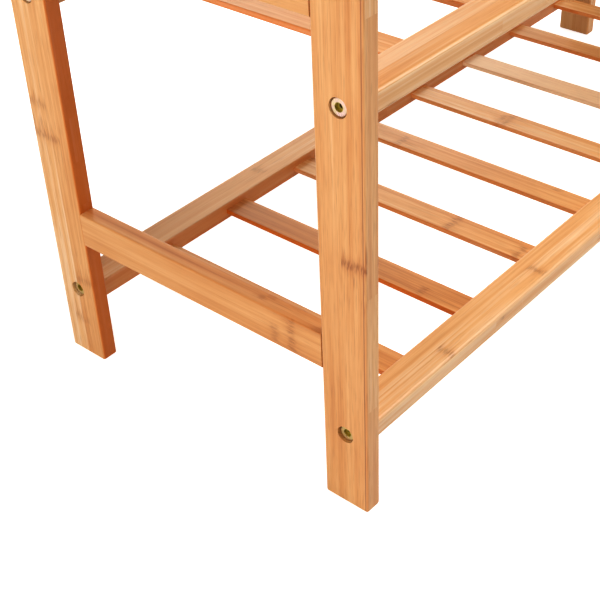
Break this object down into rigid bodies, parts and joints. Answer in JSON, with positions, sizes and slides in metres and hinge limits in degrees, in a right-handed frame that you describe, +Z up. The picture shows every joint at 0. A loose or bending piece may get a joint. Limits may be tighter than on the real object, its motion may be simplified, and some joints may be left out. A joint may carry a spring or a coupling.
{
  "type": "entryway bench",
  "caption": "Free-standing slatted bamboo bench with a boarded seat over open shoe shelves, bolted to leg frames at both ends.",
  "frame": {"origin": "on the floor, under the middle of the bench", "axes": "+X along the bench to the right as seen from the front, +Y from front to back, +Z up"},
  "size_m": [0.7166, 0.293, 0.45],
  "materials": {
    "bamboo": "satin lacquer on laminated bamboo",
    "dowel_wood": "plain turned hardwood",
    "yellow_zinc": "yellow-passivated zinc plate",
    "plated_steel": "bright zinc plate"
  },
  "bodies": {
    "root": {"cross_nuts": "plated_steel", "end_rail_dowels": "dowel_wood", "frame_bolts": "yellow_zinc", "leg_back_left": "bamboo", "leg_back_right": "bamboo", "leg_front_left": "bamboo", "leg_front_right": "bamboo", "lower_end_rail_left": "bamboo", "lower_end_rail_right": "bamboo", "lower_shelf_back_rail": "bamboo", "lower_shelf_front_rail": "bamboo", "lower_shelf_slat_1": "bamboo", "lower_shelf_slat_2": "bamboo", "lower_shelf_slat_3": "bamboo", "lower_shelf_slat_4": "bamboo", "lower_shelf_slat_5": "bamboo", "lower_shelf_slat_6": "bamboo", "lower_shelf_slat_7": "bamboo", "lower_shelf_slat_8": "bamboo", "middle_end_rail_left": "bamboo", "middle_end_rail_right": "bamboo", "rail_dowels": "dowel_wood", "seat_back_apron": "bamboo", "seat_bearer_1": "bamboo", "seat_bearer_2": "bamboo", "seat_bearer_3": "bamboo", "seat_bearer_4": "bamboo", "seat_board_1": "bamboo", "seat_board_2": "bamboo", "seat_board_3": "bamboo", "seat_board_4": "bamboo", "seat_board_5": "bamboo", "seat_front_apron": "bamboo", "seat_screws": "plated_steel", "top_end_rail_left": "bamboo", "top_end_rail_right": "bamboo", "upper_shelf_back_rail": "bamboo", "upper_shelf_front_rail": "bamboo", "upper_shelf_slat_1": "bamboo", "upper_shelf_slat_2": "bamboo", "upper_shelf_slat_3": "bamboo", "upper_shelf_slat_4": "bamboo", "upper_shelf_slat_5": "bamboo", "upper_shelf_slat_6": "bamboo", "upper_shelf_slat_7": "bamboo", "upper_shelf_slat_8": "bamboo"}
  },
  "joints": []
}
